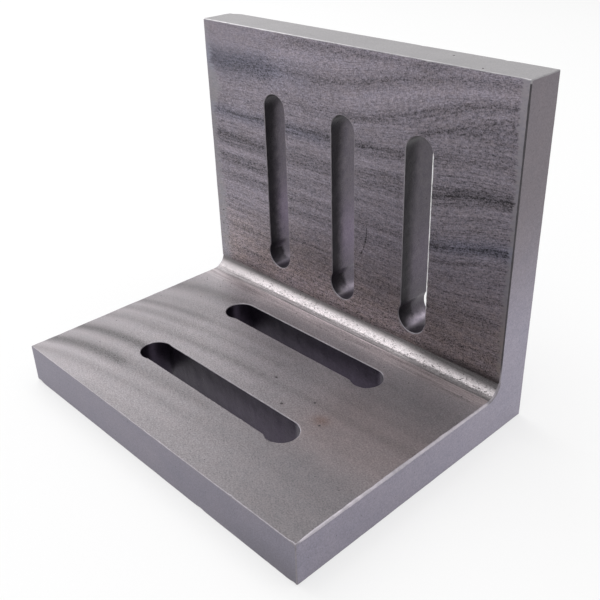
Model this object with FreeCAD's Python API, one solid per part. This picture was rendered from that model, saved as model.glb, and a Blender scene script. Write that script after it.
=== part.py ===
import FreeCAD, Part
import math
import os

# Angle plate, 6 x 4-1/2 x 5 in, open ends: one grey iron casting, milled and slotted. Sizes in mm.
# X runs along the width, the base reaches towards -Y, the wall stands at +Y and +Z is up.
# The origin is on the underside, at mid width and mid depth.

os.makedirs("parts", exist_ok=True)
V = FreeCAD.Vector

# Overall sizes
WIDTH = 152.4
DEPTH = 114.3
HEIGHT = 127.0
WALL_THICKNESS = 15.6
BASE_THICKNESS = 16.2

# Cove left by the casting along the inner corner: a hollow arc that meets each machined face in a crease
COVE_RISE = 4.8
COVE_RUN = 5.1
COVE_HOLLOW = 1.15

# Broken edges: round each end face, and along the X edges
END_BREAK = 0.7
LONG_BREAK = 0.35
RIM_BREAK = 0.35

# Milled slots, and the drilled holes they were run out from
SLOT_WIDTH = 11.6
DRILL_RADIUS = 6.15
MILL_SETBACK = 0.5

# Wall slots, left to right: centre line from mid width, lowest and highest point
WALL_SLOT_X = (-35.7, 1.0, 36.5)
WALL_SLOT_BOTTOM = (28.1, 26.7, 25.6)
WALL_SLOT_TOP = (103.0, 101.9, 101.6)
WALL_DRILL_SHIFT = -0.55

# Base slots, front then back: centre line from the front, left and right end from mid width
BASE_SLOT_Y = (32.9, 75.9)
BASE_SLOT_LEFT = (-43.0, -42.5)
BASE_SLOT_RIGHT = (41.9, 41.5)
BASE_DRILL_SHIFT_LEFT = (-0.2, -0.45)
BASE_DRILL_SHIFT_RIGHT = (-0.6, -0.85)

OVERCUT = 2.0

FRONT = -DEPTH / 2
BACK = DEPTH / 2
WALL_FACE = BACK - WALL_THICKNESS
HALF_SLOT = SLOT_WIDTH / 2


def runs_full_width(edge):
    return edge.BoundBox.XLength > WIDTH / 2


def is_outer(edge):
    """True for an outer corner of the L, false for its inner corner."""
    y, z = edge.Vertexes[0].Y, edge.Vertexes[0].Z
    return min(abs(y - FRONT), abs(y - BACK), abs(z), abs(z - HEIGHT)) < 1e-6


def prism(points, length):
    """A prism along X from a closed outline of (y, z) points, starting at X = 0."""
    outline = [V(0, y, z) for y, z in points]
    return Part.Face(Part.makePolygon(outline + outline[:1])).extrude(V(length, 0, 0))


def sharp_angle():
    """The L with a sharp inner corner and its outer edges broken."""
    block = prism(
        [
            (FRONT, 0),
            (BACK, 0),
            (BACK, HEIGHT),
            (WALL_FACE, HEIGHT),
            (WALL_FACE, BASE_THICKNESS),
            (FRONT, BASE_THICKNESS),
        ],
        WIDTH,
    )
    block.translate(V(-WIDTH / 2, 0, 0))
    block = block.makeChamfer(END_BREAK, [e for e in block.Edges if not runs_full_width(e)])
    return block.makeChamfer(LONG_BREAK, [e for e in block.Edges if runs_full_width(e) and is_outer(e)])


def cut_profile(half, length, rim):
    """Half of a through cut's section, as (half width, place along the cut): straight walls that
    flare to a broken rim at both ends."""
    flare = half + rim + OVERCUT
    return [
        (0, -OVERCUT),
        (flare, -OVERCUT),
        (half, rim),
        (half, length - rim),
        (flare, length + OVERCUT),
        (0, length + OVERCUT),
    ]


def round_cut(radius, length, rim):
    """A round through cut with broken rims, from the origin along Z."""
    points = [V(r, 0, z) for r, z in cut_profile(radius, length, rim)]
    return Part.Face(Part.makePolygon(points + points[:1])).revolve(V(0, 0, 0), V(0, 0, 1), 360)


def straight_cut(run, thickness, rim):
    """The straight run of a milled slot with broken rims, from the origin along X."""
    right = cut_profile(HALF_SLOT, thickness, rim)[1:-1]
    left = [(-y, z) for y, z in reversed(right)]
    return prism(right + left, run)


def cove_radius_and_centre():
    """The radius and the (y, z) centre of the arc that is COVE_HOLLOW below its chord."""
    chord = math.hypot(COVE_RISE, COVE_RUN)
    radius = (chord**2 / 4 + COVE_HOLLOW**2) / (2 * COVE_HOLLOW)
    out = radius - COVE_HOLLOW
    y = WALL_FACE - COVE_RUN / 2 - out * COVE_RISE / chord
    z = BASE_THICKNESS + COVE_RISE / 2 + out * COVE_RUN / chord
    return radius, y, z


def cove_bead():
    """The metal the casting keeps in the inner corner, hollowed by the cove and bevelled with the
    end faces."""
    crease_z = BASE_THICKNESS + COVE_RISE
    crease_y = WALL_FACE - COVE_RUN
    root_y = WALL_FACE + WALL_THICKNESS / 2
    root_z = BASE_THICKNESS / 2
    bead = prism(
        [
            (crease_y, BASE_THICKNESS),
            (WALL_FACE, crease_z),
            (root_y, crease_z),
            (root_y, root_z),
            (crease_y, root_z),
        ],
        WIDTH,
    )
    radius, y, z = cove_radius_and_centre()
    hollow = round_cut(radius, WIDTH, END_BREAK)
    hollow.rotate(V(0, 0, 0), V(0, 1, 0), 90)
    hollow.translate(V(0, y, z))
    bead = bead.cut(hollow)
    bead.translate(V(-WIDTH / 2, 0, 0))
    return bead


def slot_cut(start, end, thickness, start_shift=None, end_shift=None):
    """A slot along X through a plate that lies on Z = 0: milled with round ends, and drilled first
    wherever a shift is given. The drilled hole is wider than the slot and sits off its centre line."""
    rounds = []
    mill_from = start + HALF_SLOT
    mill_to = end - HALF_SLOT
    if start_shift is not None:
        rounds.append((DRILL_RADIUS, start + DRILL_RADIUS, start_shift))
        mill_from = start + DRILL_RADIUS + MILL_SETBACK
    if end_shift is not None:
        rounds.append((DRILL_RADIUS, end - DRILL_RADIUS, end_shift))
        mill_to = end - DRILL_RADIUS - MILL_SETBACK
    rounds.append((HALF_SLOT, mill_from, 0))
    rounds.append((HALF_SLOT, mill_to, 0))
    slot = straight_cut(mill_to - mill_from, thickness, RIM_BREAK)
    slot.translate(V(mill_from, 0, 0))
    holes = []
    for radius, x, y in rounds:
        hole = round_cut(radius, thickness, RIM_BREAK)
        hole.translate(V(x, y, 0))
        holes.append(hole)
    return slot.fuse(holes)


def wall_slots():
    """The three upright slots: drilled at the bottom, milled up to a plain round end."""
    cuts = []
    for x, bottom, top in zip(WALL_SLOT_X, WALL_SLOT_BOTTOM, WALL_SLOT_TOP):
        cut = slot_cut(bottom, top, WALL_THICKNESS, start_shift=-WALL_DRILL_SHIFT)
        cut.rotate(V(0, 0, 0), V(0, 1, 0), -90)
        cut.rotate(V(0, 0, 0), V(0, 0, 1), 90)
        cuts.append(cut)
        cut.translate(V(x, BACK, 0))
    return cuts


def base_slots():
    """The two slots across the base, drilled at both ends."""
    cuts = []
    rows = zip(BASE_SLOT_Y, BASE_SLOT_LEFT, BASE_SLOT_RIGHT, BASE_DRILL_SHIFT_LEFT, BASE_DRILL_SHIFT_RIGHT)
    for y, left, right, left_shift, right_shift in rows:
        cut = slot_cut(left, right, BASE_THICKNESS, left_shift, right_shift)
        cut.translate(V(0, FRONT + y, 0))
        cuts.append(cut)
    return cuts


def angle_plate():
    casting = sharp_angle().fuse(cove_bead()).removeSplitter()
    return casting.cut(wall_slots() + base_slots()).Solids[0]


angle_plate().exportStep("parts/angle_plate.step")
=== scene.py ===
import math
import random
import bmesh
import bpy
import numpy as np
from mathutils import Matrix, Vector, noise
from mathutils.geometry import delaunay_2d_cdt


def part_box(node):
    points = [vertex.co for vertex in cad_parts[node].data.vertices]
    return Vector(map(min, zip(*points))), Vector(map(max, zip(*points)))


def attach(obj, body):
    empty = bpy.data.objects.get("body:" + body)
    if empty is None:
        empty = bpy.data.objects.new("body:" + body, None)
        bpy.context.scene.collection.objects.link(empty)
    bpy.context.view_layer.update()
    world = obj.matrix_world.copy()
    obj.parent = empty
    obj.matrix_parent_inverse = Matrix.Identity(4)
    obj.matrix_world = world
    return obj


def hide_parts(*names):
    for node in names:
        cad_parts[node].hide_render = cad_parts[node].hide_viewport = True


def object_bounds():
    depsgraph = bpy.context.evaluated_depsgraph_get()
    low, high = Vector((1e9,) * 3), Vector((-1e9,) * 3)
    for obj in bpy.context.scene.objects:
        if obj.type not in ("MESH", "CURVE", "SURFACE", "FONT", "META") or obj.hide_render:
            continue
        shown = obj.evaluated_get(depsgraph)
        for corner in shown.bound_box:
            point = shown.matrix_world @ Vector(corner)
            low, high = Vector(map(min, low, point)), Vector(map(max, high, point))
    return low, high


# One grey iron casting. Lengths are in mm until the mesh is written.

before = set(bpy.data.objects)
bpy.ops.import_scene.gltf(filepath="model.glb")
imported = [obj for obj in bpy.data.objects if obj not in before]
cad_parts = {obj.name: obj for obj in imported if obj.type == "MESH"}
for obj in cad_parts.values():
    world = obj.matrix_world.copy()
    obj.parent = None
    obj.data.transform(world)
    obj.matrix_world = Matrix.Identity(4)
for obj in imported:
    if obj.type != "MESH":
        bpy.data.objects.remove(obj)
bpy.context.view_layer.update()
scene = bpy.context.scene
scene.view_settings.view_transform = "Standard"

MM = 0.001
lowest, highest = (Vector(corner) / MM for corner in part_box("angle_plate"))
LEFT, FRONT, FLOOR = lowest
RIGHT, BACK, TOP = highest
WIDTH = RIGHT - LEFT

# As in the part's source
WALL_THICKNESS = 15.6
BASE_THICKNESS = 16.2
COVE_RISE = 4.8
COVE_RUN = 5.1
COVE_HOLLOW = 1.15
SLOT_WIDTH = 11.6
DRILL_RADIUS = 6.15
MILL_SETBACK = 0.5
WALL_SLOT_X = (-35.7, 1.0, 36.5)
WALL_SLOT_BOTTOM = (28.1, 26.7, 25.6)
WALL_SLOT_TOP = (103.0, 101.9, 101.6)
WALL_DRILL_SHIFT = -0.55
BASE_SLOT_Y = (32.9, 75.9)
BASE_SLOT_LEFT = (-43.0, -42.5)
BASE_SLOT_RIGHT = (41.9, 41.5)
BASE_DRILL_SHIFT_LEFT = (-0.2, -0.45)
BASE_DRILL_SHIFT_RIGHT = (-0.6, -0.85)
# Along and across each base slot, depth and half width
BASE_SLOT_NICKS = ((35.6, -5.8, 0.7, 1.3), (38.5, -5.5, 0.35, 1.0))

WALL_FACE = BACK - WALL_THICKNESS
BASE_FACE = FLOOR + BASE_THICKNESS
HALF_SLOT = SLOT_WIDTH / 2

# How far edges are broken, before their wear
LONG_BREAK = 0.3
END_BREAK = 0.32
WALL_END_BREAK = 0.4
BASE_END_BREAK = 0.7
RIM_BREAK = 0.28

# Steps of the mesh
ROW_PITCH = 0.6
END_PITCH = 0.8
SLOT_PITCH = 0.7
SLOT_TURN = 0.11
DEPTH_PITCH = 1.1
FACE_PITCH = 4.0
FILLET_STEPS = 4
RIM_STEPS = 3
COVE_STEPS = 14
PIT_SIDES = 9
CREASE = math.radians(32)

# Kinds of surface, in the order of the material slots
WALL, BASE, GROUND, COVE, SLOT, EDGE, PIT = range(7)


def wander(seed, point, pitch):
    """Smooth noise between about -1 and 1, changing over pitch mm."""
    return noise.noise(Vector(point) / pitch + Vector((seed * 7.31, seed * 3.17, seed * 5.77)))


def hump(away):
    """1 at 0, fading smoothly over 1 either way."""
    return math.exp(-(away**2))


def steps(start, end, pitch):
    """Even places from start to end, about pitch apart."""
    count = max(1, round(abs(end - start) / pitch))
    return [start + (end - start) * i / count for i in range(count + 1)]


def inside(points, ring):
    """Which of the flat points lie inside a ring, by the even-odd rule."""
    points = np.asarray(points, float)
    ring = np.asarray(ring, float)
    x, y = points[:, 0], points[:, 1]
    hit = np.zeros(len(points), bool)
    for (x1, y1), (x2, y2) in zip(np.roll(ring, 1, 0), ring):
        if y1 != y2:
            across = (y1 > y) != (y2 > y)
            hit ^= across & (x < x1 + (y - y1) * (x2 - x1) / (y2 - y1))
    return hit


def in_metal(points, rings):
    """Which flat points lie inside the first ring and outside the others."""
    keep = inside(points, rings[0])
    for ring in rings[1:]:
        keep &= ~inside(points, ring)
    return keep


class Shell:
    """The casting's closed surface while it is put together."""

    def __init__(self):
        self.points = []
        self.faces = []
        self.kinds = []

    def add(self, point):
        self.points.append(tuple(point))
        return len(self.points) - 1

    def face(self, corners, kind):
        self.faces.append(corners)
        self.kinds.append(kind)

    def strip(self, first, second, kind, closed=False):
        """Quads between two rows of points."""
        count = len(first)
        for i in range(count if closed else count - 1):
            j = (i + 1) % count
            self.face([first[i], first[j], second[j], second[i]], kind)

    def fill(self, outer, holes, place, kind, pits=()):
        """A flat face inside one loop and outside the others, with pits where there is room. place
        turns a point's two coordinates in the face into the point."""
        fixed = place(0.0, 0.0)
        other = place(1.0, 1.0)
        free = [i for i in range(3) if fixed[i] != other[i]]
        loops = [list(outer)] + [list(loop) for loop in holes]
        rings = [self.flatten(loop, free) for loop in loops]
        for spot, radius, depth, inward in pits:
            border = np.array([p for ring in rings for p in ring])
            gap = math.sqrt(((border - spot) ** 2).sum(1).min())
            if gap > radius * 1.5 + 0.8 and in_metal([spot], rings)[0]:
                loops.append(self.pit(place, spot, radius, depth, Vector(inward)))
                rings.append(self.flatten(loops[-1], free))
        index = [i for loop in loops for i in loop]
        spots = [spot for ring in rings for spot in ring]
        edges = []
        for loop in loops:
            start = len(edges)
            edges += [(start + i, start + (i + 1) % len(loop)) for i in range(len(loop))]
        for spot in self.lattice(rings, FACE_PITCH):
            index.append(self.add(place(*spot)))
            spots.append(spot)
        flat = [Vector(spot) for spot in spots]
        found, _, triangles, origin, _, _ = delaunay_2d_cdt(flat, edges, [], 0, 1e-7, True)
        middles = [sum((found[i] for i in t), Vector((0, 0))) / 3 for t in triangles]
        for triangle, keep in zip(triangles, in_metal(middles, rings)):
            if keep:
                self.face([index[origin[i][0]] for i in triangle], kind)

    def flatten(self, loop, free):
        return [[self.points[i][axis] for axis in free] for i in loop]

    def lattice(self, rings, pitch):
        """Points spread over a flat face, clear of its edges, so that its triangles stay even."""
        border = np.array([spot for ring in rings for spot in ring])
        (x0, y0), (x1, y1) = border.min(0), border.max(0)
        spots = []
        for j, y in enumerate(steps(y0, y1, pitch)):
            spots += [(x + 0.5 * pitch * (j % 2), y) for x in steps(x0, x1, pitch)]
        spots = np.array(spots)
        spots = spots[in_metal(spots, rings)]
        clear = [((border - spot) ** 2).sum(1).min() > (0.35 * pitch) ** 2 for spot in spots]
        return [tuple(map(float, spot)) for spot in spots[clear]]

    def pit(self, place, spot, radius, depth, inward):
        """A small casting pit: an uneven rim and a bowl under it. Returns the rim."""
        rows = []
        for reach, drop in ((1.0, 0.0), (0.6, 0.75)):
            row = []
            for k in range(PIT_SIDES):
                turn = k * math.tau / PIT_SIDES
                away_x, away_y = math.cos(turn), math.sin(turn)
                ragged = 1 + 0.4 * wander(5, (spot[0] + 3 * away_x, spot[1] + 3 * away_y, 0), 1.3)
                step = radius * reach * ragged
                at = Vector(place(spot[0] + step * away_x, spot[1] + step * away_y))
                row.append(self.add(at + inward * depth * drop))
            rows.append(row)
        bottom = self.add(Vector(place(*spot)) + inward * depth)
        self.strip(rows[0], rows[1], PIT, closed=True)
        for i in range(PIT_SIDES):
            self.face([rows[1][i - 1], rows[1][i], bottom], PIT)
        return rows[0]

    def write(self, name):
        """The mesh in metres, smooth except between kinds of surface and across creases."""
        build = bmesh.new()
        corners = [build.verts.new(Vector(point) * MM) for point in self.points]
        for loop, kind in zip(self.faces, self.kinds):
            face = build.faces.new([corners[i] for i in loop])
            face.material_index = kind
            face.smooth = True
        bmesh.ops.recalc_face_normals(build, faces=build.faces)
        for edge in build.edges:
            if len(edge.link_faces) != 2:
                raise SystemExit("the casting's surface is open near %s" % edge.verts[0].co)
            one, two = edge.link_faces
            same = one.material_index == two.material_index
            edge.smooth = same and edge.calc_face_angle() < CREASE
        mesh = bpy.data.meshes.new(name)
        build.to_mesh(mesh)
        build.free()
        return mesh


def cove_arc():
    """Radius and (y, z) centre of the arc that is COVE_HOLLOW below its chord."""
    chord = math.hypot(COVE_RISE, COVE_RUN)
    radius = (chord**2 / 4 + COVE_HOLLOW**2) / (2 * COVE_HOLLOW)
    out = radius - COVE_HOLLOW
    y = WALL_FACE - COVE_RUN / 2 - out * COVE_RISE / chord
    z = BASE_FACE + COVE_RISE / 2 + out * COVE_RUN / chord
    return radius, y, z


COVE_RADIUS, COVE_Y, COVE_Z = cove_arc()

# The outer corners of the L in order: place, way in, whether the fillet starts on the upright face
CORNERS = (
    (FRONT, FLOOR, 1, 1, True),
    (BACK, FLOOR, -1, 1, False),
    (BACK, TOP, -1, -1, True),
    (WALL_FACE, TOP, 1, -1, False),
    (FRONT, BASE_FACE, 1, -1, False),
)

# Knocks along the long edges: corner, x, depth and half length
KNOCKS = (
    (0, 75.2, 0.5, 1.2),
    (0, -74.6, 0.8, 2.0),
    (0, 31.0, 0.35, 1.4),
    (2, -75.6, 1.9, 2.6),
    (2, 24.0, 0.3, 1.2),
    (2, 58.0, 0.45, 1.0),
    (3, 75.6, 0.25, 1.0),
    (3, 39.0, 0.3, 0.9),
    (4, 75.4, 0.3, 1.0),
    (4, -12.0, 0.25, 1.1),
    (4, 48.0, 0.3, 0.8),
    (1, 20.0, 0.5, 1.8),
    (1, -52.0, 0.4, 1.4),
)


def fillet_radius(corner, x):
    """How far the edge at a corner of the L is broken, at a place along it."""
    uneven = 0.3 * wander(corner, (x, 0, 0), 9) + 0.25 * wander(corner, (x, 5, 0), 1.7)
    radius = LONG_BREAK * (1 + uneven)
    for which, at, depth, half in KNOCKS:
        if which == corner:
            radius += depth * hump((x - at) / half)
    return radius


def end_radius(side, y, z):
    """How far an end face's edge is broken, at a place round it: most along the base's top, and
    knocked off at the left end's upper back corner."""
    radius = END_BREAK
    if y < WALL_FACE + 0.5 and z > BASE_FACE - 0.5:
        radius = WALL_END_BREAK
        if z < BASE_FACE + COVE_RISE:
            radius = BASE_END_BREAK - 0.3 * hump((y - FRONT) / 5)
    radius *= 1 + 0.25 * wander(20 + side, (0, y, z), 8) + 0.2 * wander(30 + side, (0, y, z), 1.6)
    if side < 0:
        radius += 0.9 * hump((y - BACK) / 2.5) * hump((z - TOP) / 2.5)
    return radius


def corner_point(corner, part, inset, radius):
    """A point of a corner's fillet, part of the way round it, on the L drawn in by inset."""
    y, z, into_y, into_z, upright_first = CORNERS[corner]
    turn = part * math.pi / 2
    if not upright_first:
        turn = math.pi / 2 - turn
    reach = radius + inset
    return (
        y + into_y * (reach - radius * math.cos(turn)),
        z + into_z * (reach - radius * math.sin(turn)),
    )


def cove_point(part, inset):
    """A point of the cove, from its top crease to its bottom one, on the L drawn in by inset."""
    radius = COVE_RADIUS + inset
    top = math.asin((WALL_FACE + inset - COVE_Y) / radius)
    bottom = math.acos((COVE_Z - BASE_FACE + inset) / radius)
    turn = top + (bottom - top) * part
    return COVE_Y + radius * math.sin(turn), COVE_Z - radius * math.cos(turn)


PARTS = [i / FILLET_STEPS for i in range(FILLET_STEPS + 1)]
COVE_PARTS = [i / COVE_STEPS for i in range(COVE_STEPS + 1)]

# Once round the L: its corners, the cove, and the straight runs between them
OUTLINE = (0, (0, 1), 1, (1, 2), 2, (2, 3), 3, (3, "cove"), "cove", ("cove", 4), 4, (4, 0))


def end_x(side):
    return LEFT if side < 0 else RIGHT


def outline_point(item, part, inset, side):
    """(y, z) of a point of the outline at an end face, drawn in by inset."""
    if item == "cove":
        return cove_point(part, inset)
    if isinstance(item, tuple):
        start = outline_point(item[0], 1, inset, side)
        end = outline_point(item[1], 0, inset, side)
        return tuple(a + (b - a) * part for a, b in zip(start, end))
    return corner_point(item, part, inset, fillet_radius(item, end_x(side)))


def outline_parts(side):
    """Every point of the outline once, as (item, part)."""
    places = []
    for item in OUTLINE:
        if isinstance(item, tuple):
            length = math.dist(outline_point(item, 0, 0, side), outline_point(item, 1, 0, side))
            count = max(2, round(length / END_PITCH))
            places += [(item, i / count) for i in range(1, count)]
        else:
            places += [(item, part) for part in (COVE_PARTS if item == "cove" else PARTS)]
    return places


def long_row(shell, xs, place):
    """A row of points along X between the two end breaks. place gives (y, z) at an x."""
    row = []
    for i, x in enumerate(xs):
        y, z = place(x)
        left = LEFT + end_radius(-1, y, z)
        right = RIGHT - end_radius(1, y, z)
        row.append(shell.add((left + (right - left) * i / (len(xs) - 1), y, z)))
    return row


def cove_skin(part, x):
    """(y, z) on the cove's cast skin, which joins the clean arc at its creases and ends."""
    y, z = cove_point(part, 0)
    lumps = wander(40, (x, y * 1.6, z * 1.6), 3.5) + wander(41, (x, y, z), 0.9)
    rough = 0.05 + 0.06 * lumps
    near = min(part, 1 - part, 0.12) / 0.12 * min(1, (x - LEFT) / 2, (RIGHT - x) / 2)
    sunk = COVE_RADIUS + max(0.0, rough * near)
    return tuple(c + (p - c) * sunk / COVE_RADIUS for c, p in zip((COVE_Y, COVE_Z), (y, z)))


def end_cap(shell, side, rows):
    """The broken edge round an end face, and the face. Returns where each straight run's points lie."""
    places = outline_parts(side)
    column = 0 if side < 0 else -1
    radii = [end_radius(side, *outline_point(item, part, 0, side)) for item, part in places]
    rings = []
    for step in range(FILLET_STEPS + 1):
        turn = step / FILLET_STEPS * math.pi / 2
        ring = []
        for (item, part), radius in zip(places, radii):
            if step == 0 and (item, part) in rows:
                ring.append(rows[item, part][column])
                continue
            y, z = outline_point(item, part, radius * (1 - math.cos(turn)), side)
            x = end_x(side) - side * radius * (1 - math.sin(turn))
            ring.append(shell.add((x, y, z)))
        rings.append(ring)
    for first, second in zip(rings, rings[1:]):
        shell.strip(first, second, EDGE, closed=True)
    shell.fill(rings[-1], [], lambda y, z: (end_x(side), y, z), GROUND)
    runs = {}
    for (item, part), point in zip(places, rings[0]):
        if isinstance(item, tuple):
            runs.setdefault(item, []).append(point)
    return runs


def slot_outline(start, end, start_shift, end_shift):
    """A slot's outline along u as (u, v, way out): a milled run, and a wider drilled hole off its
    centre line at each end that has a shift."""
    holes = []
    mill_from = start + HALF_SLOT
    mill_to = end - HALF_SLOT
    if start_shift is not None:
        holes.append(Vector((start + DRILL_RADIUS, start_shift)))
        mill_from = start + DRILL_RADIUS + MILL_SETBACK
    if end_shift is not None:
        holes.append(Vector((end - DRILL_RADIUS, end_shift)))
        mill_to = end - DRILL_RADIUS - MILL_SETBACK
    spine = [(u, math.pi / 2) for u in steps(mill_to, mill_from, SLOT_PITCH)]
    spine += [(mill_from, math.pi / 2 + turn) for turn in steps(0, math.pi, SLOT_TURN)[1:-1]]
    spine += [(u, -math.pi / 2) for u in steps(mill_from, mill_to, SLOT_PITCH)]
    spine += [(mill_to, -math.pi / 2 + turn) for turn in steps(0, math.pi, SLOT_TURN)[1:-1]]
    points = []
    for u, turn in spine:
        out = Vector((math.cos(turn), math.sin(turn)))
        reach = HALF_SLOT
        for hole in holes:
            to_hole = hole - Vector((u, 0))
            along = to_hole.dot(out)
            room = along * along - to_hole.length_squared + DRILL_RADIUS**2
            if room > 0:
                reach = max(reach, along + math.sqrt(room))
        points.append(Vector((u, 0)) + out * reach)
    outline = []
    for i, point in enumerate(points):
        run = points[(i + 1) % len(points)] - points[i - 1]
        outline.append((point.x, point.y, Vector((run.y, -run.x)).normalized()))
    return outline


def add_slot(shell, outline, place, thickness, seed, wear=1.0, nicks=()):
    """A slot through a plate, with broken rims and walls left rough by the tool. place turns (u, v,
    depth) into a point. wear widens the near rim on its side below 0, and nicks are (u, v, depth,
    half width) there. Returns the slot's loops on the near and the far face."""

    def broken(rim, u, v):
        which = seed + rim
        return RIM_BREAK * (1 + 0.3 * wander(which, (u, v, 0), 5) + 0.4 * wander(which, (u, v, 9), 1.2))

    near = []
    for u, v, _ in outline:
        radius = broken(0, u, v) * (wear if v < 0 else 1.0)
        for at_u, at_v, depth, half in nicks:
            radius += depth * hump(math.dist((u, v), (at_u, at_v)) / half)
        near.append(radius)
    far = [broken(1, u, v) for u, v, _ in outline]
    rows = []

    def add_row(depth_of, out_of):
        row = []
        for i, (u, v, out) in enumerate(outline):
            depth = depth_of(i)
            reach = out_of(i, u, v, depth)
            row.append(shell.add(place(u + out.x * reach, v + out.y * reach, depth)))
        rows.append(row)

    turns = [step / RIM_STEPS * math.pi / 2 for step in range(RIM_STEPS + 1)]
    for turn in turns:
        add_row(
            lambda i: near[i] * (1 - math.cos(turn)),
            lambda i, u, v, depth: near[i] * (1 - math.sin(turn)),
        )
    count = round(thickness / DEPTH_PITCH)
    for step in range(1, count):
        share = step / count

        def tooled(i, u, v, depth):
            fade = min(1, 6 * share, 6 * (1 - share))
            coarse = 0.08 * wander(seed, (u, v, depth * 0.6), 5)
            fine = 0.05 * wander(seed, (u, v, depth), 1.4)
            return fade * (0.05 + coarse + fine)

        add_row(lambda i: near[i] + (thickness - near[i] - far[i]) * share, tooled)
    for turn in reversed(turns):
        add_row(
            lambda i: thickness - far[i] * (1 - math.cos(turn)),
            lambda i, u, v, depth: far[i] * (1 - math.sin(turn)),
        )
    for i, (first, second) in enumerate(zip(rows, rows[1:])):
        rim = i < RIM_STEPS or i >= len(rows) - 1 - RIM_STEPS
        shell.strip(first, second, EDGE if rim else SLOT, closed=True)
    return rows[0], rows[-1]


def pit_field(seed, count, x_range, y_range, sizes, inward):
    """Small pits strewn over a face."""
    chance = random.Random(seed)
    pits = []
    for _ in range(count):
        spot = (chance.uniform(*x_range), chance.uniform(*y_range))
        radius = chance.uniform(*sizes)
        pits.append((spot, radius, radius * chance.uniform(0.5, 0.8), inward))
    return pits


def casting_pits():
    """The casting's pits on the wall, the base and the top: (place, radius, depth, way in)."""
    into_wall = (0, 1, 0)
    down = (0, 0, -1)
    all_x = (LEFT + 3, RIGHT - 4)
    wall = pit_field(3, 60, all_x, (BASE_FACE + 6, 46), (0.18, 0.42), into_wall)
    wall += pit_field(4, 16, all_x, (46, TOP - 4), (0.15, 0.3), into_wall)
    # The base's larger pits, from its left end and from the wall
    base = [
        ((LEFT + across, WALL_FACE - out), radius, depth, down)
        for across, out, radius, depth in (
            (87.3, 46.2, 0.5, 0.35),
            (108.8, 47.5, 0.45, 0.3),
            (100.6, 55.9, 0.5, 0.35),
            (119.0, 55.6, 0.45, 0.3),
        )
    ]
    all_x = (LEFT + 4, RIGHT - 4)
    base += pit_field(6, 22, all_x, (FRONT + 4, WALL_FACE - 10), (0.14, 0.26), down)
    base += pit_field(8, 30, all_x, (WALL_FACE - 18, WALL_FACE - 6.5), (0.15, 0.3), down)
    top = [
        ((LEFT + 117.0, WALL_FACE + 10.4), 0.45, 0.3, down),
        ((LEFT + 134.0, WALL_FACE + 2.2), 0.4, 0.3, down),
    ]
    return wall, base, top


def add_wall_slot(shell, i):
    """One of the wall's upright slots. The last one's right rim is worn wider."""
    outline = slot_outline(WALL_SLOT_BOTTOM[i], WALL_SLOT_TOP[i], -WALL_DRILL_SHIFT, None)
    return add_slot(
        shell,
        outline,
        lambda u, v, depth: (WALL_SLOT_X[i] - v, WALL_FACE + depth, u),
        WALL_THICKNESS,
        50 + 2 * i,
        wear=1.6 if i == 2 else 1.0,
    )


def add_base_slot(shell, i):
    """One of the base's slots, with a nick in its front rim."""
    outline = slot_outline(
        BASE_SLOT_LEFT[i], BASE_SLOT_RIGHT[i], BASE_DRILL_SHIFT_LEFT[i], BASE_DRILL_SHIFT_RIGHT[i]
    )
    return add_slot(
        shell,
        outline,
        lambda u, v, depth: (u, FRONT + BASE_SLOT_Y[i] + v, BASE_FACE - depth),
        BASE_THICKNESS,
        70 + 2 * i,
        nicks=[BASE_SLOT_NICKS[i]],
    )


def build_casting():
    shell = Shell()
    xs = steps(LEFT, RIGHT, ROW_PITCH)
    rows = {}
    for corner in range(5):
        for part in PARTS:
            rows[corner, part] = long_row(
                shell, xs, lambda x: corner_point(corner, part, 0, fillet_radius(corner, x))
            )
        for first, second in zip(PARTS, PARTS[1:]):
            shell.strip(rows[corner, first], rows[corner, second], EDGE)
    for part in COVE_PARTS:
        rows["cove", part] = long_row(shell, xs, lambda x: cove_skin(part, x))
    for first, second in zip(COVE_PARTS, COVE_PARTS[1:]):
        shell.strip(rows["cove", first], rows["cove", second], COVE)
    left_runs = end_cap(shell, -1, rows)
    right_runs = end_cap(shell, 1, rows)

    def border(start, end):
        """The loop round the flat face between two items of the outline."""
        loop = rows[start, 1] + right_runs[start, end]
        return loop + rows[end, 0][::-1] + left_runs[start, end][::-1]

    wall_near, wall_far = zip(*(add_wall_slot(shell, i) for i in range(len(WALL_SLOT_X))))
    base_near, base_far = zip(*(add_base_slot(shell, i) for i in range(len(BASE_SLOT_Y))))
    wall_pits, base_pits, top_pits = casting_pits()
    shell.fill(border(3, "cove"), wall_near, lambda x, z: (x, WALL_FACE, z), WALL, pits=wall_pits)
    shell.fill(border("cove", 4), base_near, lambda x, y: (x, y, BASE_FACE), BASE, pits=base_pits)
    shell.fill(border(1, 2), wall_far, lambda x, z: (x, BACK, z), GROUND)
    shell.fill(border(0, 1), base_far, lambda x, y: (x, y, FLOOR), GROUND)
    shell.fill(border(2, 3), [], lambda x, y: (x, y, TOP), GROUND, pits=top_pits)
    shell.fill(border(4, 0), [], lambda x, z: (x, FRONT, z), GROUND)
    mesh = shell.write("casting")
    piece = bpy.data.objects.new("casting", mesh)
    scene.collection.objects.link(piece)
    return piece


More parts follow.
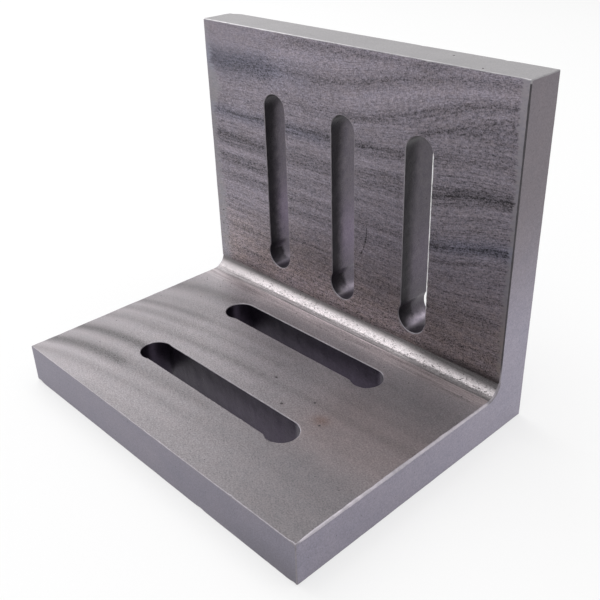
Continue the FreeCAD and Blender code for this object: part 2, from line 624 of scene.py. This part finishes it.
def place_camera():
    """The photograph's viewing angle, from a little over 30 cm away."""
    azimuth, elevation, roll = (math.radians(a) for a in (47.06, 29.08, -1.95))
    back = Vector(
        (
            math.sin(azimuth) * math.cos(elevation),
            -math.cos(azimuth) * math.cos(elevation),
            math.sin(elevation),
        )
    )
    right = (-back).cross(Vector((0, 0, 1))).normalized()
    up = back.cross(right)
    turned_right = math.cos(roll) * right + math.sin(roll) * up
    turned_up = math.cos(roll) * up - math.sin(roll) * right
    data = bpy.data.cameras.new("camera")
    data.sensor_width = 36.0
    data.lens = 49.878
    data.clip_start = 0.01
    data.clip_end = 30.0
    camera = bpy.data.objects.new("camera", data)
    scene.collection.objects.link(camera)
    turn = Matrix((turned_right, turned_up, back)).transposed().to_4x4()
    camera.matrix_world = Matrix.Translation(Vector((203.44, -170.51, 189.59)) * MM) @ turn
    scene.camera = camera


class Field:
    """A number that varies over the surface, built up from math nodes."""

    def __init__(self, tree, socket):
        self.tree = tree
        self.socket = socket

    def op(self, name, *others):
        node = self.tree.nodes.new("ShaderNodeMath")
        node.operation = name
        for slot, value in zip(node.inputs, (self, *others)):
            if isinstance(value, Field):
                self.tree.links.new(value.socket, slot)
            else:
                slot.default_value = value
        return Field(self.tree, node.outputs[0])

    def __add__(self, other):
        return self.op("ADD", other)

    def __sub__(self, other):
        return self.op("SUBTRACT", other)

    def __mul__(self, other):
        return self.op("MULTIPLY", other)

    __radd__ = __add__
    __rmul__ = __mul__

    def __rsub__(self, other):
        return self.op("MULTIPLY_ADD", -1.0, other)

    def between(self, start, end):
        """0 up to start, 1 from end on, smooth between. It may fall instead of rise."""
        node = self.tree.nodes.new("ShaderNodeMapRange")
        node.interpolation_type = "SMOOTHSTEP"
        self.tree.links.new(self.socket, node.inputs["Value"])
        node.inputs["From Min"].default_value = min(start, end)
        node.inputs["From Max"].default_value = max(start, end)
        rising = Field(self.tree, node.outputs[0])
        return rising if start < end else 1.0 - rising

    def bell(self, centre, half):
        """1 at centre, fading over half."""
        away = (self - centre) * (1 / half)
        return (away * away * -1.0).op("EXPONENT")


class Finish:
    """A material being built on the principled shader, with the place on the casting in mm: x from
    its left end, y and z as in the frame."""

    def __init__(self, name, metallic):
        self.material = bpy.data.materials.new(name)
        self.material.use_nodes = True
        self.tree = self.material.node_tree
        self.shader = self.tree.nodes["Principled BSDF"]
        self.shader.inputs["Metallic"].default_value = metallic
        where = self.tree.nodes.new("ShaderNodeTexCoord")
        scale = self.tree.nodes.new("ShaderNodeVectorMath")
        scale.operation = "SCALE"
        scale.inputs["Scale"].default_value = 1000.0
        self.tree.links.new(where.outputs["Object"], scale.inputs[0])
        self.place = scale.outputs[0]
        split = self.tree.nodes.new("ShaderNodeSeparateXYZ")
        self.tree.links.new(self.place, split.inputs[0])
        x, self.y, self.z = (Field(self.tree, out) for out in split.outputs)
        self.x = x - LEFT

    def noise(self, pitch, detail=2.0, seed=0.0, follow=None, place=None):
        """Noise about 0, mostly within 0.5 either way. pitch is its size in mm along X, Y and Z, and
        follow takes the place of Z."""
        place = place or self.place
        if follow is not None:
            join = self.tree.nodes.new("ShaderNodeCombineXYZ")
            for slot, value in zip(join.inputs, (self.x, self.y, follow)):
                self.tree.links.new(value.socket, slot)
            place = join.outputs[0]
        mapping = self.tree.nodes.new("ShaderNodeMapping")
        mapping.inputs["Scale"].default_value = tuple(1 / size for size in pitch)
        mapping.inputs["Location"].default_value = (seed, seed * 1.7, seed * 0.6)
        self.tree.links.new(place, mapping.inputs["Vector"])
        node = self.tree.nodes.new("ShaderNodeTexNoise")
        node.inputs["Scale"].default_value = 1.0
        node.inputs["Detail"].default_value = detail
        node.inputs["Roughness"].default_value = 0.6
        self.tree.links.new(mapping.outputs[0], node.inputs["Vector"])
        return Field(self.tree, node.outputs[0]) - 0.5

    def specks(self, pitch, share, seed=0.0):
        """1 in small spots, 0 elsewhere."""
        return self.noise(pitch, 1.0, seed).between(share, share + 0.07)

    def colour(self, level, warm, tone=(1.06, 0.94, 1.09), plain=None):
        """Iron at a level of brightness, in a faintly violet tone, brown where warm is 1 and a plain
        grey where plain is 1."""
        join = self.tree.nodes.new("ShaderNodeCombineColor")
        for slot, cool, brown in zip(join.inputs, tone, (1.15, 0.93, 0.92)):
            hue = warm * (brown - cool) + cool
            if plain is not None:
                hue = hue + plain * (1.0 - cool)
            self.tree.links.new((level * hue).socket, slot)
        self.tree.links.new(join.outputs[0], self.shader.inputs["Base Color"])

    def roughness(self, value):
        self.tree.links.new(value.socket, self.shader.inputs["Roughness"])

    def bump(self, height, depth):
        """Relief where height runs over 1 in depth mm."""
        node = self.tree.nodes.new("ShaderNodeBump")
        node.inputs["Strength"].default_value = 1.0
        node.inputs["Distance"].default_value = depth * MM
        self.tree.links.new(height.socket, node.inputs["Height"])
        self.tree.links.new(node.outputs[0], self.shader.inputs["Normal"])


def outside_slots(across, along, slots):
    """How far a point is outside the nearest slot's rim, in mm, from its place across and along
    the slots. Each slot has a middle line and two ends."""
    nearest = None
    for middle, start, end in slots:
        aside = across - middle
        past = (along - (end - HALF_SLOT)).op("MAXIMUM", (start + HALF_SLOT) - along).op("MAXIMUM", 0.0)
        away = (aside * aside + past * past).op("SQRT") - HALF_SLOT
        nearest = away if nearest is None else nearest.op("MINIMUM", away)
    return nearest


def zones(x, edges):
    """Which stretch of the face a point is on: one field a stretch, 1 there and 0 elsewhere."""
    rises = [x.between(edge - 4, edge + 4) for edge in edges]
    middle = [before - after for before, after in zip(rises, rises[1:])]
    return [1.0 - rises[0], *middle, rises[-1]]


def sum_bands(place, stretches, bands):
    """Dark and light bands over one coordinate. Each has a centre, a half width, and its strength
    on each stretch of the face, below 0 for a light band."""
    total = None
    for centre, half, *strengths in bands:
        strength = None
        for stretch, share in zip(stretches, strengths):
            if share:
                part = stretch * share
                strength = part if strength is None else strength + part
        band = place.bell(centre, half) * strength
        total = band if total is None else total + band
    return total


# The wall's oxide bands: centre and half width in mm below the top, then the strength on each of
# the four stretches between the slots, below 0 for a light band
WALL_BANDS = (
    (15.0, 4.6, 0.44, 0.12, 0.06, 0.06),
    (13.8, 1.3, 0.00, 0.16, 0.20, 0.14),
    (7.2, 2.6, -0.02, -0.14, -0.12, 0.06),
    (19.6, 2.2, -0.04, -0.10, -0.18, -0.16),
    (24.9, 1.3, -0.08, 0.08, 0.26, 0.30),
    (29.4, 1.5, 0.00, 0.00, 0.00, 0.24),
    (35.6, 2.3, 0.28, 0.36, 0.26, 0.20),
    (39.8, 1.2, -0.12, -0.06, -0.18, -0.06),
    (46.7, 2.7, 0.36, 0.22, 0.16, 0.38),
    (51.9, 1.0, -0.20, -0.12, -0.08, -0.06),
    (56.4, 1.9, 0.28, 0.10, 0.08, 0.06),
    (60.3, 0.9, -0.14, -0.12, 0.00, 0.04),
    (63.5, 1.9, 0.20, 0.14, 0.16, 0.42),
    (69.4, 1.5, -0.06, 0.16, 0.04, 0.08),
    (78.8, 1.0, 0.06, 0.06, 0.16, 0.10),
    (87.0, 2.0, 0.14, 0.16, 0.14, 0.18),
)

# The base's bands: centre and half width in mm from the wall at the left end, then the strength on
# each of three stretches along it
BASE_BANDS = (
    (28.4, 3.2, 0.28, 0.04, 0.00),
    (36.5, 3.4, -0.16, 0.00, 0.00),
    (47.6, 1.9, 0.26, 0.12, 0.04),
    (51.2, 1.3, -0.12, -0.05, 0.00),
    (55.2, 1.6, 0.14, 0.12, 0.06),
    (58.8, 1.3, -0.10, -0.05, 0.00),
    (64.4, 2.0, 0.18, 0.24, 0.12),
    (69.8, 2.6, -0.08, -0.10, -0.02),
    (77.6, 2.7, 0.52, 0.22, 0.04),
    (83.2, 2.0, -0.16, -0.06, 0.00),
    (90.2, 2.9, 0.52, 0.18, 0.04),
    (95.2, 2.0, -0.24, -0.10, 0.00),
    (99.6, 1.6, 0.08, 0.10, 0.04),
    (105.0, 4.0, -0.20, -0.10, -0.04),
)

# Dark halos round the base's larger pits: place from the left end and from the wall, half width and
# depth
BASE_HALOS = ((86.9, 45.9, 0.7, 0.3), (108.6, 47.5, 0.5, 0.5), (100.5, 55.7, 0.8, 0.5))


def milled_wall():
    """The wall's inner face: oxide in bands along the cutter's path, brown and pitted below."""
    finish = Finish("milled_wall", 0.72)
    x = finish.x
    down = TOP - finish.z
    # The cutter's path: level at the left, and swept up towards the right
    drift = finish.noise((44, 44, 24), 2, 1.0)
    late = down.between(28, 56)
    curl = x.between(65, 155)
    sweep = curl * (1.0 - late) + x.between(112, 158) * late
    rise = curl * down.bell(11, 9) * 8 + sweep * (8 - down.between(60, 85) * 5)
    path = down + rise + drift * 1.8
    dark = sum_bands(path, zones(x, (40, 77, 112)), WALL_BANDS)
    dark = dark + down.bell(2.4, 1.6) * (x.between(38, 60) - x.between(112, 128)) * 0.22
    broad = finish.noise((60, 60, 2.0), 2, 2.0, path)
    lines = finish.noise((17, 17, 0.55), 2, 3.0, path)
    dashes = finish.noise((1.9, 1.9, 0.42), 2, 3.5, path)
    ragged = finish.noise((1.6, 1.6, 1.0), 2, 4.0)
    # The oxide stops short of both ends, raggedly
    margin = x - down.between(50, 80) * 3.5 - down.bell(26, 6) * 4 + lines * 9 + drift * 4
    margin = margin.between(4.5, 1.0)
    edge = x + ragged * 2.4 + lines * 3.0 + down.between(40, 0) * 1.2
    edge = edge.between(WIDTH - 1.5, WIDTH - 2.4)
    inner = (1.0 - margin) * edge
    low = down.between(66, 98)
    grain = finish.noise((0.5, 0.5, 0.42), 2, 5.0)
    blotch = finish.noise((1.4, 1.4, 1.0), 2, 5.5)
    calm = (1.0 - margin * 0.6) * (1.0 - (x + down * 1.4).between(62, 20) * 0.55) * edge
    speckle = (grain * (low * 0.5 + 2.1) + dashes * 1.5) * calm + blotch * 0.5
    streaks = (broad * 0.7 + lines * 1.15) * (down.between(8, 40) * 0.6 + 0.4)
    bare = margin * 0.14 + (1.0 - edge) * 0.16
    pattern = 1.0 - dark * 1.2 * inner + streaks * inner + bare + speckle
    pits = finish.specks((1.0, 1.0, 0.6), 0.15, 7.0) * (low * 0.5 + 0.1)
    pits = pits + finish.specks((0.85, 0.85, 0.7), 0.11, 9.0) * down.between(90, 99) * 0.6
    # The dark line along the cove's top crease
    right = x.between(100, 140)
    seam = (down + right * 0.4 + ragged * 1.2).between(102.4, 106.2)
    seam = seam * (x.between(0, 9) * 0.18 + right * 0.34 + 0.22)
    # A curved scratch right of the middle slot
    away = (x - 89.6 + (down - 66.0).op("MAXIMUM", 0.0).op("POWER", 2.0) * 0.023).op("ABSOLUTE")
    scratch = away.between(0.42, 0.12) * down.between(62, 67) * down.between(78.5, 76.5)
    slots = zip(WALL_SLOT_X, WALL_SLOT_BOTTOM, WALL_SLOT_TOP)
    rims = outside_slots(x + LEFT, finish.z, slots)
    rim = rims.between(1.1, 0.1) * (down.between(88, 96) * 0.14 + 0.06)
    level = pattern - pits - scratch * 0.55 + rim
    # Broad changes over the face: painted shade darker towards the right, more so below the top;
    # lighter low down on the left and low down in the middle, and darker in a band 44 mm below the top
    shade = 1.0 - x.between(20, 150) * (down.between(0, 30) * 0.16 + 0.10)
    shade = shade * (down.between(72, 98) * x.between(80, 20) * 0.14 + 1.0)
    shade = shade * (1.0 - down.bell(44, 20) * (0.14 - x.between(112, 125) * 0.09))
    shade = shade * (down.between(91, 99) * x.between(24, 50) * x.between(126, 106) * 0.3 + 1.0)
    level = level * shade * (1.0 - seam) * 0.226
    patches = finish.noise((7, 7, 2.5), 2, 8.0) * (low * 0.7 + 0.6) + blotch * 0.9
    warm = low * 0.7 - 0.05 + patches - margin * low * 0.6
    cool = path.bell(14.6, 5.0) * x.between(70, 30) + path.bell(63.5, 3.0) * right
    cool = cool + path.bell(36, 2.5) * x.between(75, 60) * 0.7
    plain = margin * 0.4 + (1.0 - edge) * 0.3
    finish.colour(level.op("MAXIMUM", 0.02), warm - cool * 0.7, plain=plain)
    finish.roughness(grain * 0.16 + low * 0.05 + 0.42)
    finish.bump(grain * 0.6 + dashes * 0.5 + lines * 0.4 - pits * 2.0, 0.05)
    return finish.material


def milled_base():
    """The base's top: lighter, with soft arcs of the cutter fanning in from the left end."""
    finish = Finish("milled_base", 0.72)
    x = finish.x
    out = WALL_FACE - finish.y
    drift = finish.noise((30, 30, 30), 2, 11.0)
    # The cutter's path bends towards the front from the left end, at first steeply
    sweep = (1.0 - (x * (-1 / 6)).op("EXPONENT")) * 3 + (1.0 - (x * (-1 / 60)).op("EXPONENT")) * 17
    path = out + sweep + drift * 2.0
    dark = sum_bands(path, zones(x, (38, 84)), BASE_BANDS)
    broad = finish.noise((36, 36, 2.2), 2, 12.0, path)
    slant = finish.tree.nodes.new("ShaderNodeVectorRotate")
    slant.rotation_type = "Z_AXIS"
    slant.inputs["Angle"].default_value = math.radians(35)
    finish.tree.links.new(finish.place, slant.inputs["Vector"])
    strokes = finish.noise((5.0, 0.55, 5.0), 2, 18.0, place=slant.outputs[0])
    along = finish.noise((22, 1.2, 30), 3, 13.0)
    near = out.between(14, 7)
    grain = finish.noise((0.5, 0.5, 0.5), 2, 14.0)
    mottle = finish.noise((5, 5, 5), 3, 16.0)
    pits = finish.specks((0.9, 0.9, 0.9), 0.22, 17.0) * 0.35
    for across, off, half, depth in BASE_HALOS:
        pits = pits + x.bell(across, half) * out.bell(off, half * 0.8) * depth
    stain = x.bell(117.5, 3.0) * out.bell(53.4, 2.4) * (mottle + 0.8)
    slots = zip(BASE_SLOT_Y, BASE_SLOT_LEFT, BASE_SLOT_RIGHT)
    rims = outside_slots(finish.y - FRONT, x + LEFT, slots)
    lit = rims.between(1.0, 0.1) * 0.1
    rubbing_and_highlight = (1.0 - x.between(34, 6) * 0.5) * (1.0 - x.between(100, 130) * 0.25)
    speckle = (grain * 1.6 + strokes * 0.4) * rubbing_and_highlight
    # Streaks beside the cove, with a light ledge and a dark crease between them and it
    ledge = out.bell(4.6, 0.9) * x.between(20, 45) * x.between(122, 104) * (along + 0.5) * 1.3
    crease = out.bell(2.9, 0.45) * (along * 1.6 + 0.45)
    lines = along * near * 2.0 + ledge - crease
    level = 1.0 - dark + broad * 0.14 + lines + speckle + mottle * 0.14 - pits - stain * 0.34 + lit
    # Broad changes over the face: lighter near the wall and in the middle further out, and painted
    # shade darker towards the front and the right front
    middle = x.between(26, 44) * x.between(124, 104)
    shade = out.between(24, 6) * 0.62 + near * middle * 0.5 + out.between(64, 40) * middle * 0.14 + 1.0
    shade = shade * (1.0 - out.between(62, 74) * 0.11)
    shade = shade * (1.0 - x.between(96, 146) * out.between(64, 92) * 0.14)
    shade = shade * (1.0 - x.between(40, 90) * out.between(60, 80) * 0.07)
    level = level * shade * 0.213
    brown = x.between(92, 124) * out.between(22, 44) * out.between(76, 58) * 0.55
    warm = brown + near * (x.between(90, 130) * 0.2 + 0.25) + stain * 1.6 + mottle * 0.4
    finish.colour(level.op("MAXIMUM", 0.03), warm, (1.045, 0.965, 1.015))
    finish.roughness(grain * 0.12 + mottle * 0.08 + near * 0.06 + 0.42)
    finish.bump(grain * 0.5 + strokes * 0.5 + broad * 0.4 - pits * 2.0, 0.04)
    return finish.material


def ground_faces():
    """The outer faces: smooth, with faint clouds of oxide and a few specks, and painted light and shade
    by face.
    """
    finish = Finish("ground", 0.72)
    clouds = finish.noise((14, 14, 14), 3, 21.0)
    mottle = finish.noise((3, 3, 3), 3, 22.0)
    grain = finish.noise((0.5, 0.5, 0.5), 2, 23.0)
    brushed = finish.noise((34, 34, 0.5), 2, 24.0)
    specks = finish.specks((1.3, 1.3, 1.3), 0.24, 25.0) * 0.4
    upright = finish.z.between(30, 95)
    top = finish.z.between(TOP - 0.6, TOP - 0.1)
    front = finish.y.between(FRONT + 0.6, FRONT + 0.1)
    level = 1.0 + clouds * 0.2 + mottle * 0.2 + grain * 0.8 + brushed * 0.14 - specks
    # Painted light and shade by face: darker higher up, the top lighter, the front face darker towards
    # the right and at its lower right corner; also lighter towards the back
    to_back = finish.y.between(-30, 40) * 0.2
    across = finish.x.between(20, 140)
    corner = finish.x.between(105, 150) * finish.z.between(12, 2)
    level = level * (1.0 + to_back - upright * 0.56 + top * (0.51 - across * 0.03)) * 0.25
    level = level * (1.0 - front * (across * 0.12 + 0.12 + corner * 0.16))
    warm = (clouds * 0.4 + mottle * 0.2 - 0.2 + upright * 0.5) * (1.0 - top) + top * 0.1
    finish.colour(level.op("MAXIMUM", 0.03), warm, (1.04, 0.94, 1.12), plain=top * 0.7)
    finish.roughness(mottle * 0.08 + grain * 0.06 + 0.4)
    finish.bump(grain * 0.5 + brushed * 0.5 - specks, 0.02)
    return finish.material


def cast_cove():
    """The cove: cast skin polished to silver in its hollow, with a painted highlight along the middle
    of the hollow, darker towards the wall's crease, and dark pits and streaks.
    """
    finish = Finish("cove", 0.62)
    x = finish.x
    # 0 at the base's crease, 1 at the wall's
    up = (finish.z - BASE_FACE) * (1 / COVE_RISE) + (finish.y - WALL_FACE) * (1 / COVE_RUN) + 1.0
    up = up * 0.5
    lumps = finish.noise((2.6, 1.4, 1.4), 3, 31.0)
    grain = finish.noise((0.5, 0.4, 0.4), 3, 32.0)
    lines = finish.noise((16, 0.5, 0.5), 2, 34.0)
    pits = finish.specks((1.0, 0.6, 0.6), 0.11, 33.0)
    worn = x.between(6, 34)
    right = x.between(106, 126)
    across = up + lines * 0.12 + lumps * 0.12 + grain * 0.16
    # Painted highlight on partly polished metal: a band along the middle of the hollow
    polish_and_highlight = across.between(0.22, 0.38) * (across + right * 0.13).between(0.94, 0.56)
    dull = (0.31 - right * 0.13) * (1.0 - across.between(0.6, 0.95) * 0.5)
    level = polish_and_highlight * (worn * 0.18 + 0.19 - right * 0.08) + dull
    level = level * (1.0 + lumps * 0.3 + grain * (worn * 1.1 + 0.6) + lines * (1.0 - polish_and_highlight) * 1.6)
    level = level - pits * worn * polish_and_highlight * 0.34
    finish.colour(level.op("MAXIMUM", 0.04), lumps * 0.4 + 0.1, (1.03, 0.97, 1.0))
    finish.roughness(grain * 0.2 + 0.5)
    finish.bump(lumps + grain * 0.8 - pits * 1.5, 0.1)
    return finish.material


def slot_walls():
    """Slot walls: black with oxide behind the wall's inner face and down the base's slots, and a dull
    grey further in, with a painted reflection low down in the wall's slots and a painted highlight
    streak in each drilled end."""
    finish = Finish("slot", 0.85)
    mottle = finish.noise((3, 3, 3), 3, 41.0)
    grain = finish.noise((0.6, 0.6, 0.6), 3, 42.0)
    specks = finish.specks((1.2, 1.2, 1.2), 0.2, 43.0) * 0.4
    in_wall = finish.z.between(BASE_FACE + 0.2, BASE_FACE + 0.6)
    down = TOP - finish.z
    third = finish.x.between(100, 105)
    within = finish.y - WALL_FACE + mottle * 2.4
    # In the drilled ends only the left side is black, near the wall's face
    drill = finish.z.between(34.5, 33.5)
    under = None
    for x in WALL_SLOT_X:
        aside = finish.x + LEFT - WALL_DRILL_SHIFT - x
        part = aside.between(-3.6, -2.4) * aside.between(8, 7)
        under = part if under is None else under + part
    deep = (within - down.between(52, 30) * 1.5).between(2.2, 8.0) * down.between(26, 33)
    deep = deep * (1.0 - drill) + drill * under.op("MAXIMUM", within.between(6.5, 8.5))
    # Painted reflection: lighter low down in the wall's slots, further in, where the walls would
    # reflect the floor behind the wall
    low = down.bell(76, 13) * (1.0 - third * 0.4)
    wall_level = deep * (low * 0.05 + 0.09) * (1.0 - third * 0.38) + 0.03
    base_level = finish.x.between(45, 105) * 0.02 + 0.03
    level = wall_level * in_wall + base_level * (1.0 - in_wall)
    level = level * (1.0 + mottle * 0.5 + grain - specks)
    # A painted highlight streak in each drilled end, along the hole where its floor would reflect the
    # light
    further_in = finish.y.between(WALL_FACE + 1, WALL_FACE + 6)
    for x, bottom, shine in zip(WALL_SLOT_X, WALL_SLOT_BOTTOM, (0.05, 0.16, 0.28)):
        rubbing_and_highlight = (finish.x + LEFT + mottle).bell(x + WALL_DRILL_SHIFT - 3.4, 1.3)
        rubbing_and_highlight = rubbing_and_highlight * finish.z.between(bottom + 5, bottom + 3)
        level = level + rubbing_and_highlight * further_in * (mottle * 2 + 1.0) * shine
    warm = (mottle * 0.4 + 0.15) * in_wall
    plain = in_wall * (0.5 - deep * low * 0.25)
    finish.colour(level.op("MAXIMUM", 0.01), warm, (1.09, 0.84, 1.34), plain=plain)
    finish.roughness(grain * 0.15 + 0.33)
    finish.bump(mottle * 0.5 + grain * 0.6 - specks, 0.08)
    return finish.material


def worn_edges():
    """The broken edges: worn lighter in places, with painted highlights on the third slot's right rim
    and the base's right edge, lighter along the wall's top front edge and the base's front edge, and
    darker up the wall's right edge.
    """
    finish = Finish("edge", 0.85)
    rub = finish.noise((4, 4, 4), 3, 51.0)
    grain = finish.noise((0.5, 0.5, 0.5), 2, 52.0)
    x, y, z = finish.x, finish.y, finish.z
    # All of the wall's top
    upper = z.between(TOP - 1.5, TOP - 1.0)
    # The wall's right edge
    black = x.between(WIDTH - 1.2, WIDTH - 0.7) * z.between(23, 30) * (1.0 - upper)
    black = black * y.between(WALL_FACE + 0.8, WALL_FACE + 0.4)
    # The third slot's right rim, which catches the light: a painted highlight on partly burnished metal
    past = x + LEFT - WALL_SLOT_X[2]
    third = past.between(5.3, 5.6) * past.between(7.5, 6.5) * z.between(36, 39) * z.between(98, 95)
    # The base's right edge: a painted highlight
    side = x.between(WIDTH - 1.4, WIDTH - 1.0) * z.between(BASE_FACE - 1.2, BASE_FACE - 0.7)
    side = side * y.between(FRONT + 0.8, FRONT + 3) * y.between(WALL_FACE - 5, WALL_FACE - 7)
    # The wall's top front edge, and the base's
    crest = upper * y.between(WALL_FACE + 1, WALL_FACE + 0.5) * x.between(96, 50)
    lip = y.between(FRONT + 0.8, FRONT + 0.4) * z.between(BASE_FACE - 1.2, BASE_FACE - 0.8)
    lip = lip * x.between(WIDTH - 1.4, WIDTH - 3.4)
    level = 0.22 + third * 0.62 + side * 0.22 + crest * 0.14 + lip * 0.04 + upper * 0.08
    level = level * (1.0 + rub * 0.9 + grain * 0.4) * (1.0 - black * 0.72)
    plain = (third + upper * 0.6).op("MINIMUM", 1.0)
    finish.colour(level.op("MAXIMUM", 0.03), rub * 0.2, (1.03, 0.96, 1.05), plain=plain)
    finish.roughness(grain * 0.2 + 0.38)
    finish.bump(rub * 0.6 + grain * 0.4, 0.05)
    return finish.material


def pit_skin():
    """Inside the pits: dark oxide."""
    finish = Finish("pit", 0.3)
    grain = finish.noise((0.3, 0.3, 0.3), 2, 61.0)
    finish.colour((grain * 0.6 + 1.0) * 0.06, grain + 0.4)
    finish.roughness(grain * 0.2 + 0.6)
    finish.bump(grain, 0.05)
    return finish.material


def dress(piece):
    """The materials, in the order of the kinds of surface."""
    for finish in (milled_wall, milled_base, ground_faces, cast_cove, slot_walls, worn_edges, pit_skin):
        piece.data.materials.append(finish())


def area_light(name, place, target, size, radiance):
    """A soft light of the given radiance, as metal sees it."""
    data = bpy.data.lights.new(name, "AREA")
    data.shape = "RECTANGLE"
    data.size, data.size_y = size
    data.energy = radiance * math.pi * size[0] * size[1]
    light = bpy.data.objects.new(name, data)
    light.location = place
    light.rotation_euler = (Vector(target) - Vector(place)).to_track_quat("-Z", "Z").to_euler()
    light.visible_camera = False
    scene.collection.objects.link(light)


def seen_white(tree, lit, seen):
    """Mixes two shaders: one that lights the object, one for camera, glossy and transmission rays."""
    path = tree.nodes.new("ShaderNodeLightPath")
    either = Field(tree, path.outputs["Is Camera Ray"])
    either = either.op("MAXIMUM", Field(tree, path.outputs["Is Glossy Ray"]))
    either = either.op("MAXIMUM", Field(tree, path.outputs["Is Transmission Ray"]))
    mix = tree.nodes.new("ShaderNodeMixShader")
    tree.links.new(either.socket, mix.inputs[0])
    tree.links.new(lit, mix.inputs[1])
    tree.links.new(seen, mix.inputs[2])
    return mix.outputs[0]


def light_the_scene():
    world = bpy.data.worlds.new("world")
    scene.world = world
    world.use_nodes = True
    tree = world.node_tree
    soft = tree.nodes["Background"]
    soft.inputs["Color"].default_value = (1, 1, 1, 1)
    soft.inputs["Strength"].default_value = 0.6
    white = tree.nodes.new("ShaderNodeBackground")
    white.inputs["Color"].default_value = (1, 1, 1, 1)
    white.inputs["Strength"].default_value = 1.0
    surface = seen_white(tree, soft.outputs[0], white.outputs[0])
    tree.links.new(surface, tree.nodes["World Output"].inputs["Surface"])
    area_light("softbox", (-1.0, 0.05, 0.85), (0, 0, 0.05), (2.2, 1.1), 1.6)
    area_light("overhead", (0.2, -0.1, 1.3), (0, 0, 0), (1.6, 1.6), 0.9)


def lay_floor():
    mesh = bpy.data.meshes.new("floor")
    build = bmesh.new()
    bmesh.ops.create_circle(build, cap_ends=True, radius=9.0, segments=96)
    build.to_mesh(mesh)
    build.free()
    floor = bpy.data.objects.new("floor", mesh)
    floor.location.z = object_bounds()[0][2] - 0.0001
    scene.collection.objects.link(floor)
    paper = bpy.data.materials.new("paper")
    paper.use_nodes = True
    tree = paper.node_tree
    shader = tree.nodes["Principled BSDF"]
    shader.inputs["Base Color"].default_value = (0.86, 0.86, 0.86, 1)
    shader.inputs["Roughness"].default_value = 0.9
    shader.inputs["Specular IOR Level"].default_value = 0.0
    glow = tree.nodes.new("ShaderNodeEmission")
    glow.inputs["Color"].default_value = (1, 1, 1, 1)
    glow.inputs["Strength"].default_value = 1.0
    pale = tree.nodes.new("ShaderNodeMixShader")
    pale.inputs[0].default_value = 0.62
    tree.links.new(shader.outputs[0], pale.inputs[1])
    tree.links.new(glow.outputs[0], pale.inputs[2])
    surface = seen_white(tree, shader.outputs[0], pale.outputs[0])
    tree.links.new(surface, tree.nodes["Material Output"].inputs["Surface"])
    floor.data.materials.append(paper)


place_camera()
casting = build_casting()
dress(casting)
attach(casting, "root")
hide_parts("angle_plate")
lay_floor()
light_the_scene()
